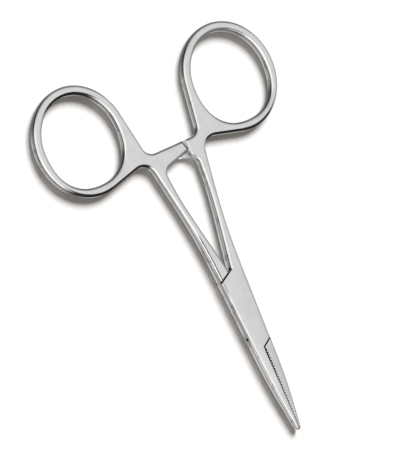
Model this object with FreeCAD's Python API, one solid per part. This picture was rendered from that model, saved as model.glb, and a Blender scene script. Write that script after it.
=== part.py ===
import FreeCAD, Part
import math
import os

# Straight mosquito forceps, closed and lying flat.
# Frame: x across, y along the instrument towards the rings, z up.
# The origin is where the pivot axis meets the lower face of the box.
# Each half is one forging: ring, ratchet arm, shank, its share of the box
# lock, and a jaw that has crossed over to the other side.

# Thickness of the forging
box_thickness = 3.2
ring_thickness = 2.5
tip_thickness = 1.55

# Lengths along y: the box, the jaws, and down from the ring centres
box_above_pivot = 9.05
box_below_pivot = 8.7
jaw_length = 19.7
crotch_above_box = 1.95
arm_below_ring_centre = 8.75
yoke_below_arm_top = 7.05

# Stations of the jaw from its tip, and of the shank from its crotch
tip_round_share = 0.06
fore_jaw_share = 0.25
mid_jaw_share = 0.53
low_shank_share = 0.238
mid_shank_share = 0.619

# Half widths of the closed instrument at those places
tip_half = 0.62
fore_jaw_half = 1.10
mid_jaw_half = 1.72
box_foot_half = 2.28
pivot_half = 2.70
box_head_half = 3.13
low_shank_half = 3.60
mid_shank_half = 4.65
yoke_half = 6.00

# Width of each shank there, and half the gap where the two part
low_shank_width = 2.10
mid_shank_width = 1.70
yoke_width = 2.08
crotch_half_gap = 0.58
shank_lean_at_yoke = 0.08

# Finger rings: an ellipse outside, and a hole that is fuller below
ring_centre_x = 18.9
ring_centre_y = 47.8
ring_half_width = 10.8
ring_half_height = 12.4
ring_wall_beside = 2.0
ring_wall_above = 2.1
hole_fullness_above = 2.0
hole_fullness_below = 2.3
hole_points = 16

# Corners where the ring's neck meets the arm above and the shank below
neck_beyond_yoke = 0.47
notch_below_arm_top = 0.89

# Ratchet arms, each half as thick as the rings where they overlap
arm_height = 3.15
arm_reach = 1.85
arm_end_lean = 0.9
arm_slope_deg = 15.4
arm_clearance = 0.07
arm_end_gap = 0.20
shelf_width = 0.90
shelf_depth = 0.50
shelf_ramp_run = 0.55
cut_below_arm = 1.5
tooth_pitch = 1.0
tooth_depth = 0.35
tooth_count = 4

# Radii in plan, and of the rounded edges
neck_radius = 2.3
notch_radius = 2.8
crotch_radius = 1.9
edge_radius = 0.62
jaw_edge_radius = 0.40

# Box lock: a slot through the box, and the tang that fills it
tang_thickness = 1.1
tang_clearance = 0.04
slot_end_from_pivot = 6.2
slot_end_from_axis = 2.45
slot_end_clearance = 0.10
slot_relief = 0.38
head_slope_deg = 28.5
foot_slope_deg = 33.0
head_gap = 0.34
foot_gap = 0.22

# Pivot pin
pin_radius = 1.0
pin_running_clearance = 0.03
pin_head_spread = 0.25
pin_head_depth = 0.3

# Serrated gripping faces of the jaws
serration_pitch = 0.635
serration_depth = 0.26
serration_start = 0.8
serration_end = 1.1
jaw_gap_at_box = 0.34
jaw_gap_at_tip = 0.04

# Margins for cutting: past a face, and to tell one face from another
spare = 3.0
hair = 0.01

# Worked out from the sizes above
middle = box_thickness / 2
box_foot_y = -box_below_pivot
tip_y = box_foot_y - jaw_length
ring_top_y = ring_centre_y + ring_half_height
arm_top = ring_centre_y - arm_below_ring_centre
yoke_at = arm_top - yoke_below_arm_top
crotch_at = box_above_pivot + crotch_above_box
low_shank_at = crotch_at + (yoke_at - crotch_at) * low_shank_share
mid_shank_at = crotch_at + (yoke_at - crotch_at) * mid_shank_share
pin_head_radius = pin_radius + pin_head_spread
serrated_length = jaw_length - serration_start - serration_end
serration_count = int(serrated_length / serration_pitch)
head_rise = math.tan(math.radians(head_slope_deg))
head_secant = 1 / math.cos(math.radians(head_slope_deg))
foot_rise = math.tan(math.radians(foot_slope_deg))
foot_secant = 1 / math.cos(math.radians(foot_slope_deg))
arm_fall = math.tan(math.radians(arm_slope_deg))
beyond = 2 * (ring_centre_x + ring_half_width)


# Drawing aids

def point(x, y):
    return FreeCAD.Vector(x, y, 0)


def line(start, end):
    return Part.LineSegment(start, end).toShape()


def curve_through(points):
    curve = Part.BSplineCurve()
    curve.interpolate(Points=points)
    return curve


def curve_between(points, first_way, last_way):
    """A smooth curve that leaves and arrives in given directions."""
    curve = Part.BSplineCurve()
    curve.interpolate(Points=points, InitialTangent=first_way, FinalTangent=last_way)
    return curve


def meet(point_a, way_a, point_b, way_b):
    """Where two lines in plan cross."""
    cross = way_a.x * way_b.y - way_a.y * way_b.x
    between = point_b - point_a
    travel = (between.x * way_b.y - between.y * way_b.x) / cross
    return point_a + way_a * travel


def rounded_corner(before, corner, after, radius):
    """The two ends and the arc that round the corner of two straight lines."""
    to_before = (before - corner).normalize()
    to_after = (after - corner).normalize()
    half_angle = to_before.getAngle(to_after) / 2
    reach = radius / math.tan(half_angle)
    first = corner + to_before * reach
    last = corner + to_after * reach
    bisector = (to_before + to_after).normalize()
    centre = corner + bisector * (radius / math.sin(half_angle))
    crown = centre - bisector * radius
    return first, last, Part.Arc(first, crown, last).toShape()


def raised(face, bottom, top):
    face.translate(FreeCAD.Vector(0, 0, bottom))
    return face.extrude(FreeCAD.Vector(0, 0, top - bottom))


def prism(corners, bottom=-spare, top=box_thickness + spare):
    return raised(Part.Face(Part.makePolygon(corners + corners[:1])), bottom, top)


def prism_of(edges):
    face = Part.Face(Part.Wire(Part.__sortEdges__(edges)))
    return raised(face, -spare, box_thickness + spare)


def mirrored(shape):
    return shape.mirror(FreeCAD.Vector(0, 0, 0), FreeCAD.Vector(1, 0, 0))


def trimmed(curve, low_y, high_y):
    """The stretch of a rising curve between two heights."""
    ends = []
    for wanted in (low_y, high_y):
        low = curve.FirstParameter
        high = curve.LastParameter
        for _ in range(60):
            half = (low + high) / 2
            if curve.value(half).y < wanted:
                low = half
            else:
                high = half
        ends.append((low + high) / 2)
    return curve.toShape(ends[0], ends[1])


def soften(solid, radius, stays_sharp):
    """Round the edges of the upper and lower faces, but not cut ends."""
    chosen = []
    for edge in solid.Edges:
        first = edge.valueAt(edge.FirstParameter)
        last = edge.valueAt(edge.LastParameter)
        half_way = edge.valueAt((edge.FirstParameter + edge.LastParameter) / 2)
        upright = abs(first.z - last.z) > tip_thickness / 2
        if not upright and not stays_sharp(half_way):
            chosen.append(edge)
    return solid.makeFillet(radius, chosen)


# The forging in outline and from the side

def outer_curve():
    """Right-hand outside edge, from the tip of the jaw up to the yoke."""
    return curve_through([
        point(tip_half, tip_y + jaw_length * tip_round_share),
        point(fore_jaw_half, tip_y + jaw_length * fore_jaw_share),
        point(mid_jaw_half, tip_y + jaw_length * mid_jaw_share),
        point(box_foot_half, box_foot_y),
        point(pivot_half, 0),
        point(box_head_half, box_above_pivot),
        point(low_shank_half, low_shank_at),
        point(mid_shank_half, mid_shank_at),
        point(yoke_half, yoke_at),
    ])


def side_profile():
    """Flat over the box, thinner to the tip and, in an easy S, to the rings."""
    box_rise = box_thickness / 2
    ring_rise = ring_thickness / 2
    jaw_fall = box_rise - tip_thickness / 2
    along = FreeCAD.Vector(0, 1, 0)
    edges = []
    for side in (1, -1):
        def at(y, height):
            return FreeCAD.Vector(0, y, middle + side * height)

        tip_end = at(tip_y - spare, box_rise - jaw_fall)
        crown = at(box_foot_y - jaw_length / 2, box_rise - jaw_fall / 4)
        box_foot = at(box_foot_y, box_rise)
        box_head = at(box_above_pivot, box_rise)
        thin = at(yoke_at, ring_rise)
        ring_end = at(ring_top_y + spare, ring_rise)
        edges += [
            line(FreeCAD.Vector(0, tip_end.y, middle), tip_end),
            Part.Arc(tip_end, crown, box_foot).toShape(),
            line(box_foot, box_head),
            curve_between([box_head, thin], along, along).toShape(),
            line(thin, ring_end),
            line(ring_end, FreeCAD.Vector(0, ring_end.y, middle)),
        ]
    face = Part.Face(Part.Wire(Part.__sortEdges__(edges)))
    face.translate(FreeCAD.Vector(-beyond, 0, 0))
    return face.extrude(FreeCAD.Vector(2 * beyond, 0, 0))


def hole_outline():
    """Finger hole: round above, squarer towards the shanks."""
    points = []
    for index in range(hole_points):
        angle = 2 * math.pi * index / hole_points
        power = 2 / (hole_fullness_above if angle < math.pi else hole_fullness_below)
        across = math.copysign(abs(math.cos(angle)) ** power, math.cos(angle))
        along = math.copysign(abs(math.sin(angle)) ** power, math.sin(angle))
        x = ring_centre_x + (ring_half_width - ring_wall_beside) * across
        y = ring_centre_y + (ring_half_height - ring_wall_above) * along
        points.append(point(x, y))
    curve = Part.BSplineCurve()
    curve.interpolate(Points=points, PeriodicFlag=True)
    return curve.toShape()


def ring_outline():
    """The ring's outer ellipse, and the turn of its long axis from x."""
    centre = point(ring_centre_x, ring_centre_y)
    long_half = max(ring_half_width, ring_half_height)
    short_half = min(ring_half_width, ring_half_height)
    turn = 90 if ring_half_height > ring_half_width else 0
    ellipse = Part.Ellipse(centre, long_half, short_half)
    ellipse.rotate(FreeCAD.Placement(centre, FreeCAD.Vector(0, 0, 1), turn))
    return ellipse, math.radians(turn)


def touching_angle(place, side):
    """Where a line from a place outside the ring just touches it."""
    across = (place.x - ring_centre_x) / ring_half_width
    along = (place.y - ring_centre_y) / ring_half_height
    toward = math.atan2(along, across) % (2 * math.pi)
    return toward + side * math.acos(1 / math.hypot(across, along))


def handle_blank(profile):
    """Right-hand ring, full ratchet arm, shank and half of the box."""
    outer = outer_curve()
    outer_end = outer.value(outer.LastParameter)
    outer_way = outer.tangent(outer.LastParameter)[0]
    shank_end = point(yoke_half - yoke_width, yoke_at)
    shank_way = point(shank_lean_at_yoke, 1)
    arm_way = point(1, -arm_fall)
    arm_foot = point(0, arm_top - arm_height)
    arm_tip_top = point(-arm_reach - spare, arm_top)
    arm_tip_foot = meet(arm_foot, arm_way, arm_tip_top, point(0, 1))

    neck_corner = point(yoke_half + neck_beyond_yoke, arm_top)
    notch_level = point(0, arm_top - notch_below_arm_top)
    notch_corner = meet(notch_level, point(1, 0), outer_end, outer_way)
    ellipse, turn = ring_outline()
    neck_angle = touching_angle(neck_corner, -1) - turn
    foot_angle = touching_angle(notch_corner, 1) - turn
    neck_start = ellipse.value(neck_angle)
    foot_start = ellipse.value(foot_angle)
    crotch_corner = meet(arm_foot, arm_way, shank_end, shank_way)
    neck = rounded_corner(neck_start, neck_corner, arm_tip_top, neck_radius)
    notch = rounded_corner(foot_start, notch_corner, outer_end, notch_radius)
    crotch = rounded_corner(arm_tip_foot, crotch_corner, shank_end, crotch_radius)

    # Inside the box the shank's inner side eases into the centre line
    ease_y = box_above_pivot / 2
    inner = curve_between(
        [
            point(0, ease_y),
            point(crotch_half_gap, crotch_at),
            point(low_shank_half - low_shank_width, low_shank_at),
            point(mid_shank_half - mid_shank_width, mid_shank_at),
            shank_end,
        ],
        point(0, 1),
        shank_way,
    )
    end_y = box_foot_y - spare
    outer_edge = trimmed(outer, end_y, yoke_at)
    outer_foot = outer_edge.valueAt(outer_edge.FirstParameter)
    blank = prism_of([
        ellipse.toShape(foot_angle, 2 * math.pi + neck_angle),
        line(neck_start, neck[0]),
        neck[2],
        line(neck[1], arm_tip_top),
        line(arm_tip_top, arm_tip_foot),
        line(arm_tip_foot, crotch[0]),
        crotch[2],
        line(crotch[1], shank_end),
        inner.toShape(),
        line(point(0, ease_y), point(0, end_y)),
        line(point(0, end_y), outer_foot),
        outer_edge,
        line(outer_end, notch[1]),
        notch[2],
        line(notch[0], foot_start),
    ])
    blank = blank.cut(prism_of([hole_outline()])).common(profile)

    def cut_end(place):
        return place.y < end_y + hair or place.x < arm_tip_top.x + hair

    return soften(blank, edge_radius, cut_end)


def closed_jaws(profile):
    """Both jaws and the box as one smooth body, to be parted later."""
    outer = outer_curve()
    head_y = box_above_pivot + spare
    side = trimmed(outer, tip_y + jaw_length * tip_round_share, head_y)
    side_foot = side.valueAt(side.FirstParameter)
    side_head = side.valueAt(side.LastParameter)
    far_foot = point(-side_foot.x, side_foot.y)
    far_head = point(-side_head.x, side_head.y)
    tip_way = outer.tangent(outer.FirstParameter)[0]
    tip = curve_between(
        [side_foot, point(0, tip_y), far_foot],
        tip_way * -1,
        point(-tip_way.x, tip_way.y),
    )
    blank = prism_of([
        side,
        tip.toShape(),
        mirrored(side),
        line(side_head, far_head),
    ])

    def cut_end(place):
        return place.y > head_y - hair

    return soften(blank.common(profile), jaw_edge_radius, cut_end)


def right_half(body):
    return body.common(prism([
        point(0, tip_y - spare),
        point(beyond, tip_y - spare),
        point(beyond, ring_top_y),
        point(0, ring_top_y),
    ]))


# The shoulder lines, where the two halves meet above and below the pivot

def head_line(x, gap=0):
    return box_above_pivot + head_rise * x + head_secant * gap


def foot_line(x, gap=0):
    return box_foot_y + foot_rise * x - foot_secant * gap


def above(shoulder, gap):
    return prism([
        point(-beyond, shoulder(-beyond, gap)),
        point(beyond, shoulder(beyond, gap)),
        point(beyond, ring_top_y + beyond),
        point(-beyond, ring_top_y + beyond),
    ])


def below(shoulder, gap):
    return prism([
        point(-beyond, shoulder(-beyond, gap)),
        point(-beyond, tip_y - beyond),
        point(beyond, tip_y - beyond),
        point(beyond, shoulder(beyond, gap)),
    ])


def box_core():
    """The middle of the box, square-edged along both shoulder lines."""
    half = pivot_half / 2
    return prism(
        [
            point(-half, head_line(-half)),
            point(-half, box_foot_y),
            point(0, box_foot_y),
            point(half, foot_line(half)),
            point(half, head_line(half)),
        ],
        0,
        box_thickness,
    )


def slot_outline(clearance):
    """Plan of the slot, or with a clearance of the tang inside it.

    The tang's outer corners are relieved, so that they pass the slot's ends.
    """
    end_y = slot_end_from_pivot - clearance
    end_x = slot_end_from_axis - clearance
    relief = slot_relief if clearance else 0
    wide = box_head_half + spare
    crotch_x = crotch_half_gap / 2 - clearance
    return [
        point(-wide, relief - end_y),
        point(-end_x - relief, relief - end_y),
        point(-end_x, -end_y),
        point(clearance, box_foot_y),
        point(clearance, box_foot_y - spare),
        point(wide, box_foot_y - spare),
        point(wide, end_y - relief),
        point(end_x + relief, end_y - relief),
        point(end_x, end_y),
        point(crotch_x, head_line(crotch_x)),
        point(crotch_x, head_line(crotch_x) + spare),
        point(-wide, head_line(crotch_x) + spare),
    ]


# The gripping faces and the ratchet

def serrated(jaw, side):
    """Cut the toothed face of the left (-1) or the right (+1) jaw."""
    taper = (jaw_gap_at_box - jaw_gap_at_tip) / jaw_length
    deep = serration_depth / 2

    def face_at(y):
        gap = jaw_gap_at_box + taper * (y - box_foot_y)
        return side * max(gap, jaw_gap_at_tip) / 2

    first_y = box_foot_y - serration_start
    last_y = first_y - serration_pitch * serration_count
    far_y = tip_y - spare
    edge = [point(face_at(spare), spare), point(face_at(first_y), first_y)]
    for index in range(serration_count):
        crest_y = first_y - serration_pitch * (index + 1 / 4)
        root_y = first_y - serration_pitch * (index + 3 / 4)
        edge.append(point(face_at(crest_y) + deep, crest_y))
        edge.append(point(face_at(root_y) - deep, root_y))
    edge.append(point(face_at(last_y), last_y))
    edge.append(point(face_at(far_y), far_y))
    edge.append(point(-side * spare, far_y))
    edge.append(point(-side * spare, spare))
    return jaw.cut(prism(edge))


def ratchet_cutter(side):
    """What is cut away to leave a toothed arm of half the thickness.

    Side +1 leaves the lower arm, which comes from the right, and -1 the
    upper arm, which comes from the left. The steep flanks face each other.
    Past the other arm's slanted end a shelf and a short ramp lead up to the
    full thickness.
    """
    level = middle - side * arm_clearance / 2
    foot_y = arm_top - arm_height - cut_below_arm
    head_y = arm_top + spare
    level_to_top = (ring_thickness + arm_clearance) / 2

    def at(x, height):
        return FreeCAD.Vector(x, foot_y, level + side * height)

    def swept(corners):
        face = Part.Face(Part.makePolygon(corners + corners[:1]))
        return face.extrude(FreeCAD.Vector(0, head_y - foot_y, 0))

    far = -side * (arm_reach + 2 * spare)
    near = side * arm_reach
    first = -side * tooth_pitch * tooth_count / 2
    corners = [at(far, spare), at(far, 0)]
    for index in range(tooth_count):
        start = first + side * tooth_pitch * index
        corners.append(at(start, 0))
        corners.append(at(start, -tooth_depth))
        corners.append(at(start + side * tooth_pitch, 0))
    corners.append(at(near, 0))
    corners.append(at(near, spare))
    teeth = swept(corners)

    lean = arm_end_lean / arm_height

    def pocket_edge(y):
        return point(side * (arm_reach + arm_end_gap + lean * (arm_top - y)), y)

    plan = [point(far, foot_y), pocket_edge(foot_y), pocket_edge(head_y), point(far, head_y)]
    if side > 0:
        pocket = prism(plan, level)
    else:
        pocket = prism(plan, -spare, level)
    shelf = level_to_top - shelf_depth
    ramp_foot = side * (arm_reach + shelf_width)
    ramp_head = ramp_foot + side * shelf_ramp_run
    ramp = swept([
        at(far, spare),
        at(far, shelf),
        at(ramp_foot, shelf),
        at(ramp_head, level_to_top),
        at(ramp_head, spare),
    ])
    return teeth.fuse([pocket, ramp])


def arm_end_cutter():
    """Trims the right-hand half's arm to its slanted free end."""
    top = point(-arm_reach, arm_top)
    foot = point(-arm_reach - arm_end_lean, arm_top - arm_height)
    lean = top - foot
    upper = top + lean
    lower = foot - lean
    return prism([upper, lower, point(-beyond, lower.y), point(-beyond, upper.y)])


# The three pieces

def pin_solid():
    """A plain pin, swelled into a shallow countersink in each cheek."""
    upper = box_thickness - pin_head_depth
    profile = [
        FreeCAD.Vector(0, 0, 0),
        FreeCAD.Vector(pin_head_radius, 0, 0),
        FreeCAD.Vector(pin_radius, 0, pin_head_depth),
        FreeCAD.Vector(pin_radius, 0, upper),
        FreeCAD.Vector(pin_head_radius, 0, box_thickness),
        FreeCAD.Vector(0, 0, box_thickness),
    ]
    face = Part.Face(Part.makePolygon(profile + profile[:1]))
    return face.revolve(FreeCAD.Vector(0, 0, 0), FreeCAD.Vector(0, 0, 1), 360)


def make_box_half(handle, jaw):
    """Right ring and shank, the slotted box and the left jaw."""
    shank = handle.cut(below(foot_line, 0))
    left_jaw = serrated(mirrored(jaw).cut(above(head_line, 0)), -1)
    body = shank.fuse([left_jaw, box_core()]).removeSplitter()
    slot_floor = middle - tang_thickness / 2
    slot = prism(slot_outline(0), slot_floor, slot_floor + tang_thickness)
    body = body.cut(slot).cut(pin_solid())
    return body.cut(arm_end_cutter()).cut(ratchet_cutter(1))


def make_insert_half(handle, jaw, jaws):
    """Left ring and shank, the tang through the box and the right jaw."""
    shank = mirrored(handle).cut(below(head_line, head_gap))
    right_jaw = serrated(jaw.cut(above(foot_line, foot_gap)), 1)
    half_tang = tang_thickness / 2 - tang_clearance
    tang = prism(slot_outline(slot_end_clearance), middle - half_tang, middle + half_tang)
    tang = tang.common(jaws)
    tang = tang.cut(above(head_line, 2 * head_gap)).cut(below(foot_line, 2 * foot_gap))
    body = shank.fuse([right_jaw, tang]).removeSplitter()
    bore = Part.makeCylinder(pin_radius + pin_running_clearance, box_thickness)
    body = body.cut(bore)
    return body.cut(mirrored(arm_end_cutter())).cut(ratchet_cutter(-1))


os.makedirs("parts", exist_ok=True)
profile = side_profile()
handle = handle_blank(profile)
jaws = closed_jaws(profile)
jaw = right_half(jaws)
pieces = {
    "box_half": make_box_half(handle, jaw),
    "insert_half": make_insert_half(handle, jaw, jaws),
    "pivot_pin": pin_solid(),
}
for name, shape in pieces.items():
    solids = shape.Solids
    solids[0].exportStep(f"parts/{name}.step")
    print(name, len(solids), "solid", round(shape.Volume, 2), "mm3", shape.isValid())
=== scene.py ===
import math

import bpy
from mathutils import Matrix, Vector

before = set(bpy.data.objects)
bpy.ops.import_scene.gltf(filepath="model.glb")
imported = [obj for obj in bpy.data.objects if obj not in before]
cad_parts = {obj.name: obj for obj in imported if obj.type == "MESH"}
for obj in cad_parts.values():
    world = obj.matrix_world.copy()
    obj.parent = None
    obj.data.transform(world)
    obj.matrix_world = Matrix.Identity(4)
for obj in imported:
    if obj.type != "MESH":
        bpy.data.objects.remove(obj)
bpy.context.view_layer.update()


# Box half. One stainless steel forging: the right-hand ring and shank, the
# slotted box and the left jaw. It is drop-forged and ground, then given a
# satin finish on its flats and a brighter polish on its rounded sides.

steel_colour = (0.640, 0.640, 0.638, 1.0)
steel_edge_tint = (0.74, 0.74, 0.74, 1.0)
flat_roughness = 0.27
side_roughness = 0.13


def new_group(name, inputs, outputs):
    """An empty shader node group with its sockets, input node and output node."""
    tree = bpy.data.node_groups.new(name, "ShaderNodeTree")
    for socket_name, kind, value in inputs:
        socket = tree.interface.new_socket(socket_name, in_out="INPUT", socket_type=kind)
        if value is not None:
            socket.default_value = value
    for socket_name, kind in outputs:
        tree.interface.new_socket(socket_name, in_out="OUTPUT", socket_type=kind)
    return tree, tree.nodes.new("NodeGroupInput"), tree.nodes.new("NodeGroupOutput")


def add(tree, kind, settings=(), values=(), links=()):
    """A node with its settings, socket values and incoming links."""
    node = tree.nodes.new(kind)
    for name, value in dict(settings).items():
        setattr(node, name, value)
    for name, value in dict(values).items():
        node.inputs[name].default_value = value
    for name, source in dict(links).items():
        tree.links.new(source, node.inputs[name])
    return node


def reckon(tree, operation, first, second=0.0):
    """A Math node on two values, each a number or a socket."""
    node = tree.nodes.new("ShaderNodeMath")
    node.operation = operation
    for index, value in enumerate((first, second)):
        if isinstance(value, (int, float)):
            node.inputs[index].default_value = value
        else:
            tree.links.new(value, node.inputs[index])
    return node.outputs[0]


def product(tree, first, *others):
    """Several masks or values multiplied together."""
    for other in others:
        first = reckon(tree, "MULTIPLY", first, other)
    return first


def ramp(tree, value, low, high, start=0.0, end=1.0, shape="SMOOTHSTEP"):
    """A value from low to high turned into start to end, and held beyond them."""
    node = add(
        tree,
        "ShaderNodeMapRange",
        {"interpolation_type": shape, "clamp": True},
        {"From Min": low, "From Max": high, "To Min": start, "To Max": end},
        {"Value": value},
    )
    return node.outputs["Result"]


mm_in_metre = 1000.0
lines_per_mm = 9.0
grain_stretch = 0.07
grain_detail = 2.0
grain_breakup = 0.6
mottle_scale = 420.0
mottle_detail = 3.0
mottle_breakup = 0.55


def satin_grain_group():
    """Fine lines left by the finishing belt, and a faint mottle under them."""
    tree, given, result = new_group(
        "Satin grain",
        [
            ("Place", "NodeSocketVector", None),
            ("Lines per mm", "NodeSocketFloat", lines_per_mm),
        ],
        [("Height", "NodeSocketFloat"), ("Mottle", "NodeSocketFloat")],
    )
    per_metre = reckon(tree, "MULTIPLY", given.outputs["Lines per mm"], mm_in_metre)
    stretched = add(
        tree,
        "ShaderNodeMapping",
        {"vector_type": "POINT"},
        {"Scale": (1.0, grain_stretch, 1.0)},
        {"Vector": given.outputs["Place"]},
    )
    lines = add(
        tree,
        "ShaderNodeTexNoise",
        {},
        {"Detail": grain_detail, "Roughness": grain_breakup},
        {"Vector": stretched.outputs[0], "Scale": per_metre},
    )
    mottle = add(
        tree,
        "ShaderNodeTexNoise",
        {},
        {"Scale": mottle_scale, "Detail": mottle_detail, "Roughness": mottle_breakup},
        {"Vector": given.outputs["Place"]},
    )
    tree.links.new(lines.outputs["Fac"], result.inputs["Height"])
    tree.links.new(mottle.outputs["Fac"], result.inputs["Mottle"])
    return tree


# A slope is the upward share of a surface's way: 1 on a flat, 0 on a wall and
# less than 0 below. Facing left and back are shares of its level way. Places
# are in metres from the foot of the pivot, along the instrument in y.

flat_slope_from = 0.955
flat_slope_full = 0.995
least_level = 0.05

# Painted dark reflections on the sides facing the front, the corners and the back.
front_begins = -0.50
front_full = -0.78
front_reflection_dark = 0.95
front_right_full = -0.80
front_right_begins = -0.45
front_tip_y = -0.0278
front_jaw_y = -0.0260
front_share_at_tip = 0.4
front_slope_from = 0.998
front_slope_full = 0.970

corner_begins = 0.20
corner_full = 0.48
corner_reflection_dark = 0.84
corner_slope_from = 0.80
corner_slope_full = 0.50

back_begins = 0.35
back_full = 0.75
back_reflection_dark = 0.50
back_slope_from = 0.997
back_slope_full = 0.955

# Where the painted dark reflections and the painted crevice shade are eased on the ratchet.
ratchet_left_x = -0.0050
ratchet_right_x = 0.0042
ratchet_low_y = 0.0318
ratchet_high_y = 0.0378
ratchet_blur = 0.0004
ratchet_front_spared = 0.75
ratchet_crevice = 0.42
past_arm_begins = 0.0020
past_arm_full = 0.0026
past_arm_crevice = 0.85
# The painted light reflection on the side of the pocket past the arm's end.
past_arm_x = 0.0024
past_arm_low_y = 0.0345
past_arm_blur = 0.0006
past_arm_painted_light = 0.85

ring_top_left_x = 0.0080
ring_top_right_x = 0.0240
ring_top_low_y = 0.0540
ring_top_high_y = 0.0620
ring_top_blur = 0.0030
ring_top_front_spared = 0.55

# A painted darker reflection on the upper part of the walls.
split_height = 0.00150
split_blur = 0.00015
upper_wall_reflection_dark = 0.50
upper_box_y = -0.0050
upper_jaw_y = -0.0095
upper_head_y = 0.0090
upper_shank_y = 0.0115
shank_share = 0.55
rings_from_y = 0.0310
rings_full_y = 0.0350
upper_top_full = 0.00285
upper_top_on_jaws = 0.00210
wall_slope_from = 0.62
wall_slope_full = 0.50

# The painted dark line at the crease, and the painted shade on the underside.
crease_reflection_dark = 0.45
crease_on_jaws = 0.30
crease_upper_from = 0.72
crease_upper_full = 0.62
crease_lower_from = 0.35
crease_lower_full = 0.45
underside_slope_from = -0.10
underside_slope_full = -0.30
underside_shade_dark = 0.5

# The painted dark reflection line along the left shank's upper edge.
edge_line_left_x = -0.0060
edge_line_right_x = -0.0010
edge_line_low_y = 0.0060
edge_line_high_y = 0.0175
edge_line_blur = 0.0025
edge_line_foot = 0.935
edge_line_rise = 0.01
edge_line_top_from = 0.9997
edge_line_top_full = 0.9985
edge_line_left_from = 0.35
edge_line_left_full = 0.60
edge_line_reflection_dark = 0.95

# Random patches of painted dark reflection on the rounded sides.
patch_scale = 330.0
patch_detail = 2.0
patch_breakup = 0.6
patch_none = 0.44
patch_full = 0.35
patch_reflection_dark = 0.38
patch_slope_from = 0.85
patch_slope_full = 0.70


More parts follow.
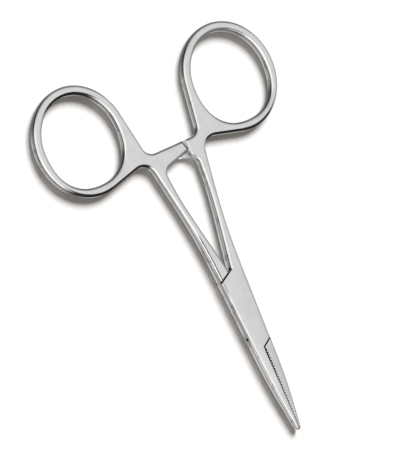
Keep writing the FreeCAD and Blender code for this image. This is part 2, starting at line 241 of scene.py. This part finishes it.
def painted_sides_group():
    """Painted reflections and painted shade on the sides, told by their height and their way."""
    tree, given, result = new_group(
        "Painted sides",
        [("Way", "NodeSocketVector", None), ("Place", "NodeSocketVector", None)],
        [
            ("Flat", "NodeSocketFloat"),
            ("Tone", "NodeSocketFloat"),
            ("Ratchet", "NodeSocketFloat"),
        ],
    )
    way = add(tree, "ShaderNodeSeparateXYZ", links={"Vector": given.outputs["Way"]})
    place = add(tree, "ShaderNodeSeparateXYZ", links={"Vector": given.outputs["Place"]})
    x = place.outputs["X"]
    y = place.outputs["Y"]
    z = place.outputs["Z"]
    slope = way.outputs["Z"]
    steepness = reckon(tree, "ABSOLUTE", slope)
    flat = ramp(tree, steepness, flat_slope_from, flat_slope_full)
    across = reckon(tree, "MULTIPLY", way.outputs["X"], way.outputs["X"])
    along = reckon(tree, "MULTIPLY", way.outputs["Y"], way.outputs["Y"])
    level = reckon(tree, "SQRT", reckon(tree, "ADD", across, along))
    level = reckon(tree, "MAXIMUM", level, least_level)
    leftward = reckon(tree, "MULTIPLY", level, -1.0)
    facing_left = reckon(tree, "DIVIDE", way.outputs["X"], leftward)
    facing_back = reckon(tree, "DIVIDE", way.outputs["Y"], level)

    def darker(tone, amount, *masks):
        """The tone, less an amount of it where every mask is full."""
        mask = amount
        for part in masks:
            mask = reckon(tree, "MULTIPLY", part, mask)
        return reckon(tree, "MULTIPLY", tone, reckon(tree, "SUBTRACT", 1.0, mask))

    def region(left, right, low, high, blur):
        """A rectangle seen from above, with blurred edges."""
        return product(
            tree,
            ramp(tree, x, left - blur, left),
            ramp(tree, x, right, right + blur, 1.0, 0.0),
            ramp(tree, y, low - blur, low),
            ramp(tree, y, high, high + blur, 1.0, 0.0),
        )

    # The ratchet arms and the top of the right ring, where the painted dark reflections are eased;
    # on the ratchet the painted crevice shade is eased too.
    ratchet = region(
        ratchet_left_x, ratchet_right_x, ratchet_low_y, ratchet_high_y, ratchet_blur
    )
    past_arm = ramp(
        tree, x, past_arm_begins, past_arm_full, ratchet_crevice, past_arm_crevice
    )
    tree.links.new(reckon(tree, "MULTIPLY", ratchet, past_arm), result.inputs["Ratchet"])
    ring_top = region(
        ring_top_left_x, ring_top_right_x, ring_top_low_y, ring_top_high_y, ring_top_blur
    )

    # Painted dark reflections on the sides facing the front and back, and at the back left and
    # front right corners.
    front = ramp(tree, facing_back, front_begins, front_full)
    front = darker(front, ratchet_front_spared, ratchet)
    front = darker(front, ring_top_front_spared, ring_top)
    front = product(
        tree,
        front,
        ramp(tree, facing_left, front_right_full, front_right_begins),
        ramp(tree, y, front_tip_y, front_jaw_y, front_share_at_tip, 1.0),
    )
    front_slope = ramp(tree, steepness, front_slope_from, front_slope_full)
    tone = darker(1.0, front_reflection_dark, front, front_slope)
    corner = reckon(tree, "MULTIPLY", facing_left, facing_back)
    corner = ramp(tree, corner, corner_begins, corner_full)
    corner_slope = ramp(tree, slope, corner_slope_from, corner_slope_full)
    tone = darker(tone, corner_reflection_dark, corner, corner_slope)
    back = ramp(tree, facing_back, back_begins, back_full)
    back_slope = ramp(tree, steepness, back_slope_from, back_slope_full)
    tone = darker(tone, back_reflection_dark, back, back_slope)

    # A painted darker reflection on the upper part of the walls, narrower on the shanks and the
    # jaws.
    full = product(
        tree,
        ramp(tree, y, upper_jaw_y, upper_box_y),
        ramp(tree, y, upper_head_y, upper_shank_y, 1.0, shank_share),
    )
    full = reckon(tree, "MAXIMUM", full, ramp(tree, y, rings_from_y, rings_full_y))
    upper_top = ramp(tree, full, 0.0, 1.0, upper_top_on_jaws, upper_top_full, "LINEAR")
    above_top = reckon(tree, "SUBTRACT", z, upper_top)
    upper = product(
        tree,
        ramp(tree, z, split_height - split_blur, split_height + split_blur),
        ramp(tree, above_top, -split_blur, split_blur, 1.0, 0.0),
    )
    on_wall = ramp(tree, slope, wall_slope_from, wall_slope_full)
    tone = darker(tone, upper_wall_reflection_dark, upper, on_wall)

    # A painted dark reflection line where the rounding meets the wall, and painted shade on the
    # underside.
    crease = product(
        tree,
        ramp(tree, slope, crease_upper_from, crease_upper_full),
        ramp(tree, slope, crease_lower_from, crease_lower_full),
    )
    crease_share = ramp(tree, full, 0.0, 1.0, crease_on_jaws, 1.0, "LINEAR")
    tone = darker(tone, crease_reflection_dark, crease, crease_share)
    underside = ramp(tree, slope, underside_slope_from, underside_slope_full)
    tone = darker(tone, underside_shade_dark, underside)

    # A fine line of painted dark reflection along the left shank's upper edge.
    line_place = region(
        edge_line_left_x, edge_line_right_x, edge_line_low_y, edge_line_high_y, edge_line_blur
    )
    on_left = ramp(tree, facing_left, edge_line_left_from, edge_line_left_full)
    line_place = reckon(tree, "MULTIPLY", line_place, on_left)
    line_width = product(
        tree,
        ramp(tree, slope, edge_line_foot, edge_line_foot + edge_line_rise),
        ramp(tree, slope, edge_line_top_from, edge_line_top_full),
    )
    tone = darker(tone, edge_line_reflection_dark, line_place, line_width)

    # The side of the pocket past the arm's end is kept light, a painted light reflection.
    pocket_side = region(
        past_arm_x, ratchet_right_x, past_arm_low_y, ratchet_high_y, past_arm_blur
    )
    pocket_painted_light = reckon(tree, "MULTIPLY", pocket_side, past_arm_painted_light)
    tone = reckon(tree, "MAXIMUM", tone, pocket_painted_light)

    # Random darker patches on the rounded sides, painted dark reflections.
    wander = add(
        tree,
        "ShaderNodeTexNoise",
        {},
        {"Scale": patch_scale, "Detail": patch_detail, "Roughness": patch_breakup},
        {"Vector": given.outputs["Place"]},
    )
    patch = ramp(tree, wander.outputs["Fac"], patch_none, patch_full)
    patch_slope = ramp(tree, slope, patch_slope_from, patch_slope_full)
    tone = darker(tone, patch_reflection_dark, patch, patch_slope)
    tree.links.new(flat, result.inputs["Flat"])
    tree.links.new(tone, result.inputs["Tone"])
    return tree


crown_of_box = 22.0
crown_of_jaws = 110.0
crown_box_y = -0.0040
crown_jaw_y = -0.0140
crown_begins_y = 0.0060
crown_ends_y = 0.0120
crown_fall = -0.5


def crown_group():
    """The slight roundness that grinding gives the jaws, less over the box."""
    tree, given, result = new_group(
        "Ground crown",
        [("Place", "NodeSocketVector", None)],
        [("Height", "NodeSocketFloat")],
    )
    place = add(tree, "ShaderNodeSeparateXYZ", links={"Vector": given.outputs["Place"]})
    x = place.outputs["X"]
    y = place.outputs["Y"]
    on_jaws = ramp(tree, y, crown_box_y, crown_jaw_y, crown_of_box, crown_of_jaws, "LINEAR")
    crown = reckon(tree, "MULTIPLY", on_jaws, ramp(tree, y, crown_begins_y, crown_ends_y, 1.0, 0.0))
    across = reckon(tree, "MULTIPLY", x, x)
    # A surface falls by half its curvature times the square of the way across.
    height = product(tree, across, crown, crown_fall)
    tree.links.new(height, result.inputs["Height"])
    return tree


line_steep = 0.15
line_level = 0.50
joint_wall_share = 0.30
line_spread = 0.00004
line_blur = 0.00003

head_shoulder_y = 0.00905
head_shoulder_deg = 28.5
head_line_width = 0.00034
head_line_end = 0.00050
head_line_low_z = 0.00230
head_line_high_z = 0.00260
foot_shoulder_y = -0.00870
foot_shoulder_deg = 33.0
foot_line_width = 0.00022
foot_line_end = -0.00010

first_tooth_y = -0.00950
last_tooth_y = -0.02710
jaw_tip_y = -0.02840
tooth_pitch = 0.000635
tooth_half_depth = 0.00016
quarter_tooth = 0.25
half_tooth = 0.5
teeth_line_at_box = 0.00014
teeth_line_at_tip = -0.00004
tooth_pocket = 0.00016

slot_inner_x = 0.00150
slot_outer_x = 0.00350
slot_low_y = -0.00640
slot_high_y = -0.00565
slot_low_z = 0.00100
slot_high_z = 0.00220

arm_top_y = 0.03905
arm_end_low_y = 0.03690
arm_end_x = 0.00185
arm_end_line_width = 0.00046
arm_lean = 0.286
arm_end_dark = 0.82

filed_low_x = 0.0010
filed_high_x = 0.0040
filed_low_y = 0.0300
filed_high_y = 0.0400
filed_top_z = 0.00280


def joint_lines_group():
    """Where the halves meet: dark lines of painted shade in the gaps at the shoulders, teeth and
    slot end, and at the arm's end.
    """
    tree, given, result = new_group(
        "Joint lines",
        [("Way", "NodeSocketVector", None), ("Place", "NodeSocketVector", None)],
        [("Dark", "NodeSocketFloat"), ("Filed", "NodeSocketFloat")],
    )
    place = add(tree, "ShaderNodeSeparateXYZ", links={"Vector": given.outputs["Place"]})
    x = place.outputs["X"]
    y = place.outputs["Y"]
    z = place.outputs["Z"]

    def within(value, low, high, blur):
        """A band of a value, with blurred ends."""
        rise = ramp(tree, value, low - blur, low + blur)
        fall = ramp(tree, value, high - blur, high + blur, 1.0, 0.0)
        return reckon(tree, "MULTIPLY", rise, fall)

    def offset_from(start_y, slope_deg):
        """How far a place lies above a sloping shoulder line."""
        angle = math.radians(slope_deg)
        fall = reckon(tree, "MULTIPLY", x, math.tan(angle))
        straight = reckon(tree, "SUBTRACT", reckon(tree, "SUBTRACT", y, start_y), fall)
        return reckon(tree, "MULTIPLY", straight, math.cos(angle))

    # The two shoulder lines of painted shade, above and below the box.
    above_head = offset_from(head_shoulder_y, head_shoulder_deg)
    head = product(
        tree,
        within(above_head, -line_spread, head_line_width + line_spread, line_blur),
        ramp(tree, x, head_line_end, head_line_end + line_blur, 1.0, 0.0),
        ramp(tree, z, head_line_low_z, head_line_high_z),
    )
    above_foot = offset_from(foot_shoulder_y, foot_shoulder_deg)
    foot_line_low = -foot_line_width - 2 * line_spread
    foot = product(
        tree,
        within(above_foot, foot_line_low, line_spread, line_blur),
        ramp(tree, x, foot_line_end - line_blur, foot_line_end),
    )

    # The zigzag of painted shade between the serrated jaws, wider at its turns to the right.
    turns = reckon(tree, "DIVIDE", reckon(tree, "SUBTRACT", first_tooth_y, y), tooth_pitch)
    from_crest = reckon(tree, "SUBTRACT", turns, quarter_tooth)
    zigzag = reckon(tree, "PINGPONG", from_crest, half_tooth)
    crest = reckon(tree, "SUBTRACT", quarter_tooth, zigzag)
    crest = reckon(tree, "MULTIPLY", crest, tooth_half_depth / quarter_tooth)
    from_zigzag = reckon(tree, "ABSOLUTE", reckon(tree, "SUBTRACT", x, crest))
    spread = ramp(
        tree, y, jaw_tip_y, first_tooth_y, teeth_line_at_tip, teeth_line_at_box, "LINEAR"
    )
    pocket = reckon(tree, "SUBTRACT", half_tooth, zigzag)
    pocket = reckon(tree, "MULTIPLY", pocket, tooth_pocket / half_tooth)
    spread = reckon(tree, "ADD", spread, pocket)
    past_line = reckon(tree, "SUBTRACT", from_zigzag, spread)
    teeth = product(
        tree,
        ramp(tree, past_line, -line_blur, line_blur, 1.0, 0.0),
        ramp(tree, y, last_tooth_y, last_tooth_y + line_blur),
        ramp(tree, y, first_tooth_y, first_tooth_y + line_blur, 1.0, 0.0),
    )

    # Painted shade in the end of the slot in the left wall of the box.
    slot_end = product(
        tree,
        within(x, -slot_outer_x, -slot_inner_x, line_blur),
        within(y, slot_low_y, slot_high_y, line_blur),
        within(z, slot_low_z, slot_high_z, line_blur),
    )

    # Painted shade along the slanted end of the upper ratchet arm.
    below_arm_top = reckon(tree, "SUBTRACT", arm_top_y, y)
    leaning_x = reckon(tree, "SUBTRACT", x, reckon(tree, "MULTIPLY", below_arm_top, arm_lean))
    arm_end = product(
        tree,
        within(leaning_x, arm_end_x - line_spread, arm_end_x + arm_end_line_width, line_blur),
        within(y, arm_end_low_y, arm_top_y, line_blur),
        arm_end_dark,
    )

    # The joint's own walls keep only a share of the painted shade.
    way = add(tree, "ShaderNodeSeparateXYZ", links={"Vector": given.outputs["Way"]})
    wall_share = ramp(
        tree, way.outputs["Z"], line_steep, line_level, joint_wall_share, 1.0
    )
    dark = reckon(tree, "MAXIMUM", reckon(tree, "MAXIMUM", head, foot), teeth)
    dark = reckon(tree, "MULTIPLY", dark, wall_share)
    dark = reckon(tree, "MAXIMUM", dark, reckon(tree, "MAXIMUM", slot_end, arm_end))
    tree.links.new(dark, result.inputs["Dark"])

    # The pocket and shelf of the ratchet, left as the file cut them.
    filed = product(
        tree,
        within(x, filed_low_x, filed_high_x, line_blur),
        within(y, filed_low_y, filed_high_y, line_blur),
        ramp(tree, z, filed_top_z - line_blur, filed_top_z, 1.0, 0.0),
    )
    tree.links.new(filed, result.inputs["Filed"])
    return tree


mottle_low = 0.3
mottle_high = 0.7
mottle_darkest = 0.97
mottle_lightest = 1.03
# The painted shade in crevices and gaps.
crevice_rays = 16
crevice_reach = 0.0006
crevice_closed = 0.30
crevice_open = 0.80
crevice_shade_darkest = 0.06
# The painted shade of the joint lines.
joint_shade_dark = 0.95
filed_roughness = 0.42
filed_speckle_scale = 3200.0
filed_speckle_detail = 2.0
filed_speckle_low = 0.35
filed_speckle_high = 0.65
filed_darkest = 0.66
filed_lightest = 1.06
grain_bump_strength = 0.08
grain_bump_height = 0.00002

satin_grain = satin_grain_group()
painted_sides = painted_sides_group()
joint_lines = joint_lines_group()
ground_crown = crown_group()


def steel_material(name):
    """Ground and polished stainless steel for one solid."""
    material = bpy.data.materials.new(name)
    material.use_nodes = True
    tree = material.node_tree
    shader = tree.nodes["Principled BSDF"]
    shader.inputs["Metallic"].default_value = 1.0
    shader.inputs["Specular Tint"].default_value = steel_edge_tint
    place = add(tree, "ShaderNodeTexCoord")

    grain = add(tree, "ShaderNodeGroup", {"node_tree": satin_grain})
    tree.links.new(place.outputs["Object"], grain.inputs["Place"])
    faces = add(tree, "ShaderNodeGroup", {"node_tree": painted_sides})
    tree.links.new(place.outputs["Normal"], faces.inputs["Way"])
    tree.links.new(place.outputs["Object"], faces.inputs["Place"])
    joints = add(tree, "ShaderNodeGroup", {"node_tree": joint_lines})
    tree.links.new(place.outputs["Normal"], joints.inputs["Way"])
    tree.links.new(place.outputs["Object"], joints.inputs["Place"])

    mottle = ramp(
        tree, grain.outputs["Mottle"], mottle_low, mottle_high, mottle_darkest, mottle_lightest
    )
    # The sides group's tone is painted reflection and painted shade.
    tone = reckon(tree, "MULTIPLY", mottle, faces.outputs["Tone"])
    # Painted shade in crevices and gaps, darker where less open space lies within reach; eased on
    # the ratchet.
    crevice = add(
        tree,
        "ShaderNodeAmbientOcclusion",
        {"samples": crevice_rays},
        {"Distance": crevice_reach},
    )
    painted_crevice_shade = ramp(
        tree, crevice.outputs["AO"], crevice_closed, crevice_open, crevice_shade_darkest, 1.0
    )
    painted_crevice_shade = reckon(tree, "MAXIMUM", painted_crevice_shade, faces.outputs["Ratchet"])
    tone = reckon(tree, "MULTIPLY", tone, painted_crevice_shade)
    # The joint lines darken the tone as painted shade in the gaps.
    joint_tone = ramp(tree, joints.outputs["Dark"], 0.0, 1.0, 1.0, 1.0 - joint_shade_dark, "LINEAR")
    tone = reckon(tree, "MULTIPLY", tone, joint_tone)
    speckle = add(
        tree,
        "ShaderNodeTexNoise",
        {},
        {"Scale": filed_speckle_scale, "Detail": filed_speckle_detail},
        {"Vector": place.outputs["Object"]},
    )
    speckled = ramp(
        tree,
        speckle.outputs["Fac"],
        filed_speckle_low,
        filed_speckle_high,
        filed_darkest,
        filed_lightest,
    )
    filed_tone = reckon(
        tree,
        "ADD",
        reckon(tree, "SUBTRACT", 1.0, joints.outputs["Filed"]),
        reckon(tree, "MULTIPLY", joints.outputs["Filed"], speckled),
    )
    tone = reckon(tree, "MULTIPLY", tone, filed_tone)

    # The colour mix has its factor at 0 and its two colours at 6 and 7.
    colour_node = add(
        tree,
        "ShaderNodeMix",
        {"data_type": "RGBA", "blend_type": "MULTIPLY"},
    )
    colour_node.inputs[0].default_value = 1.0
    colour_node.inputs[6].default_value = steel_colour
    tree.links.new(tone, colour_node.inputs[7])
    tree.links.new(colour_node.outputs[2], shader.inputs["Base Color"])

    roughness = ramp(tree, faces.outputs["Flat"], 0.0, 1.0, side_roughness, flat_roughness)
    filed_rough = reckon(tree, "MULTIPLY", joints.outputs["Filed"], filed_roughness)
    roughness = reckon(tree, "MAXIMUM", roughness, filed_rough)
    tree.links.new(roughness, shader.inputs["Roughness"])

    bump = add(
        tree,
        "ShaderNodeBump",
        {},
        {"Strength": grain_bump_strength, "Distance": grain_bump_height},
    )
    tree.links.new(grain.outputs["Height"], bump.inputs["Height"])
    crown = add(tree, "ShaderNodeGroup", {"node_tree": ground_crown})
    tree.links.new(place.outputs["Object"], crown.inputs["Place"])
    rounded = add(tree, "ShaderNodeBump", {}, {"Strength": 1.0, "Distance": 1.0})
    tree.links.new(crown.outputs["Height"], rounded.inputs["Height"])
    tree.links.new(rounded.outputs["Normal"], bump.inputs["Normal"])
    tree.links.new(bump.outputs["Normal"], shader.inputs["Normal"])
    return material


def finish_steel(node_name, material):
    """Put one material on every face of a solid."""
    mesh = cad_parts[node_name].data
    mesh.materials.clear()
    mesh.materials.append(material)


finish_steel("box_half", steel_material("Box_half_steel"))


# Insert half. The other forging: the left-hand ring and shank, the tang that
# passes through the box, and the right jaw. Same steel and finish, assembled
# by springing the hot box open round the tang.

finish_steel("insert_half", steel_material("Insert_half_steel"))


# Pivot pin. A plain steel pin through the box and the tang, riveted into its
# countersinks and ground flush, so that its ends almost vanish in the satin.

finish_steel("pivot_pin", steel_material("Pin_steel"))


# Floor. A sheet of white paper under the instrument. It glows faintly and warm,
# so that the shadow isn't black, and the steel mirrors it as plain white.

floor_half = 3.0
floor_mesh = bpy.data.meshes.new("Floor")
floor_mesh.from_pydata(
    [
        (-floor_half, -floor_half, 0.0),
        (floor_half, -floor_half, 0.0),
        (floor_half, floor_half, 0.0),
        (-floor_half, floor_half, 0.0),
    ],
    [],
    [(0, 1, 2, 3)],
)
floor = bpy.data.objects.new("Floor", floor_mesh)
bpy.context.scene.collection.objects.link(floor)

floor_white = 0.90
floor_glow = 0.085
floor_glow_colour = (1.0, 0.93, 0.86, 1.0)
floor_in_metal = 0.90
floor_mirrored = 1.0

floor_material = bpy.data.materials.new("Floor_white")
floor_material.use_nodes = True
tree = floor_material.node_tree
tree.nodes.clear()
output = add(tree, "ShaderNodeOutputMaterial")
path = add(tree, "ShaderNodeLightPath")
floor_colour = (floor_white, floor_white, floor_white, 1.0)
paint = add(tree, "ShaderNodeBsdfDiffuse", {}, {"Color": floor_colour})
glow = add(tree, "ShaderNodeEmission", {}, {"Color": floor_glow_colour, "Strength": floor_glow})
mirrored_glow = add(tree, "ShaderNodeEmission", {}, {"Strength": floor_mirrored})
lit = add(tree, "ShaderNodeAddShader")
tree.links.new(paint.outputs[0], lit.inputs[0])
tree.links.new(glow.outputs[0], lit.inputs[1])
mixed = add(tree, "ShaderNodeMixShader")
seen_in_metal = reckon(tree, "MULTIPLY", path.outputs["Is Glossy Ray"], floor_in_metal)
tree.links.new(seen_in_metal, mixed.inputs[0])
tree.links.new(lit.outputs[0], mixed.inputs[1])
tree.links.new(mirrored_glow.outputs[0], mixed.inputs[2])
tree.links.new(mixed.outputs[0], output.inputs["Surface"])
floor_mesh.materials.append(floor_material)


# Key lamp. A broad soft lamp high on the right, behind the rings. It throws the
# shadow to the front left, and the steel doesn't mirror the lamp itself.

key_strength = 3.9
key_softness = 30.0
key_way = Vector((0.84, 0.91, 1.60)).normalized()
key = bpy.data.objects.new("Key_lamp", bpy.data.lights.new("Key_lamp", "SUN"))
key.data.energy = key_strength
key.data.angle = math.radians(key_softness)
key.rotation_mode = "QUATERNION"
key.rotation_quaternion = key_way.to_track_quat("Z", "Y")
key.visible_glossy = False
bpy.context.scene.collection.objects.link(key)


# Room. Mid grey walls, darker to the left, a pale ceiling and one light panel at
# the front left, which only the steel mirrors. The rest gets a faint warm fill,
# and the camera sees plain white.

fill_colour = (1.0, 0.88, 0.77, 1.0)
fill_level = 0.135
room_low = 0.62
room_low_left = 0.36
ceiling_low = 0.35
ceiling_high = 0.70
ceiling_above = 1.27
ceiling_more_left = 0.50
ceiling_less_right = 0.22
ceiling_front = -0.42
ceiling_back = -0.12
ceiling_left_from = 0.36
ceiling_left_full = -0.10
ceiling_right_from = 0.40
ceiling_right_full = 0.75
walls_left_from = -0.30
walls_left_full = -0.60
panel_level = 2.15
panel_low = 0.22
panel_high = 0.40
panel_edge = 0.66
panel_full = 0.78
panel_way = Vector((-0.75, -0.55, 0.37)).normalized()

world = bpy.data.worlds.new("Studio")
bpy.context.scene.world = world
world.use_nodes = True
world.cycles.sampling_method = "NONE"
tree = world.node_tree
tree.nodes.clear()
output = add(tree, "ShaderNodeOutputWorld")
path = add(tree, "ShaderNodeLightPath")
way = add(tree, "ShaderNodeTexCoord")
split = add(tree, "ShaderNodeSeparateXYZ", links={"Vector": way.outputs["Generated"]})
more_left = ramp(
    tree,
    split.outputs["X"],
    ceiling_left_from,
    ceiling_left_full,
    0.0,
    ceiling_more_left,
    "LINEAR",
)
less_right = ramp(
    tree,
    split.outputs["X"],
    ceiling_right_from,
    ceiling_right_full,
    0.0,
    ceiling_less_right,
    "LINEAR",
)
ceiling_level = reckon(tree, "ADD", ceiling_above, reckon(tree, "SUBTRACT", more_left, less_right))
ceiling_mask = product(
    tree,
    ramp(tree, split.outputs["Z"], ceiling_low, ceiling_high),
    ramp(tree, split.outputs["Y"], ceiling_front, ceiling_back),
)
walls_level = ramp(
    tree, split.outputs["X"], walls_left_from, walls_left_full, room_low, room_low_left
)
above_walls = reckon(tree, "SUBTRACT", ceiling_level, walls_level)
ceiling = reckon(tree, "ADD", walls_level, reckon(tree, "MULTIPLY", above_walls, ceiling_mask))
toward_panel = add(
    tree,
    "ShaderNodeVectorMath",
    {"operation": "DOT_PRODUCT"},
    {1: tuple(panel_way)},
    {0: way.outputs["Generated"]},
)
panel = product(
    tree,
    ramp(tree, toward_panel.outputs["Value"], panel_edge, panel_full, 0.0, panel_level),
    ramp(tree, split.outputs["Z"], panel_low, panel_high),
)
room = reckon(tree, "MAXIMUM", ceiling, panel)
mirrored_room = add(tree, "ShaderNodeBackground", {}, {}, {"Strength": room})
white_room = add(tree, "ShaderNodeBackground", {}, {"Strength": 1.0})
fill = add(tree, "ShaderNodeBackground", {}, {"Color": fill_colour, "Strength": fill_level})
by_metal = add(tree, "ShaderNodeMixShader")
tree.links.new(path.outputs["Is Glossy Ray"], by_metal.inputs[0])
tree.links.new(fill.outputs[0], by_metal.inputs[1])
tree.links.new(mirrored_room.outputs[0], by_metal.inputs[2])
by_camera = add(tree, "ShaderNodeMixShader")
tree.links.new(path.outputs["Is Camera Ray"], by_camera.inputs[0])
tree.links.new(by_metal.outputs[0], by_camera.inputs[1])
tree.links.new(white_room.outputs[0], by_camera.inputs[2])
tree.links.new(by_camera.outputs[0], output.inputs["Surface"])
bpy.context.scene.view_settings.view_transform = "Standard"


# Camera. It looks almost straight down from the instrument's left, turned so
# that the jaws point to the lower right.

image_width = 400
image_height = 468
focal_pixels = 4158.0
camera_distance = 0.900
sensor_width = 36.0
nearest_seen = 0.01
furthest_seen = 20.0
camera_tilt = math.radians(22.0)
camera_swing = math.radians(-3.0)
camera_roll = math.radians(24.07)
pivot_column = 247.8
pivot_row = 309.4
pivot_top = Vector((0.0, 0.0, 0.0032))

back = Vector(
    (
        -math.sin(camera_tilt) * math.cos(camera_swing),
        -math.sin(camera_tilt) * math.sin(camera_swing),
        math.cos(camera_tilt),
    )
)
lengthwise = (Vector((0, 1, 0)) - back * back.y).normalized()
crosswise = lengthwise.cross(back)
right = crosswise * math.cos(camera_roll) - lengthwise * math.sin(camera_roll)
up = crosswise * math.sin(camera_roll) + lengthwise * math.cos(camera_roll)
right_shift = (pivot_column - image_width / 2) / focal_pixels
up_shift = (image_height / 2 - pivot_row) / focal_pixels

camera_data = bpy.data.cameras.new("Camera")
camera_data.sensor_fit = "HORIZONTAL"
camera_data.sensor_width = sensor_width
camera_data.lens = sensor_width * focal_pixels / image_width
camera_data.clip_start = nearest_seen
camera_data.clip_end = furthest_seen
camera = bpy.data.objects.new("Camera", camera_data)
bpy.context.scene.collection.objects.link(camera)
position = pivot_top + (back - right * right_shift - up * up_shift) * camera_distance
camera.matrix_world = Matrix(
    (
        (right.x, up.x, back.x, position.x),
        (right.y, up.y, back.y, position.y),
        (right.z, up.z, back.z, position.z),
        (0, 0, 0, 1),
    )
)
bpy.context.scene.camera = camera
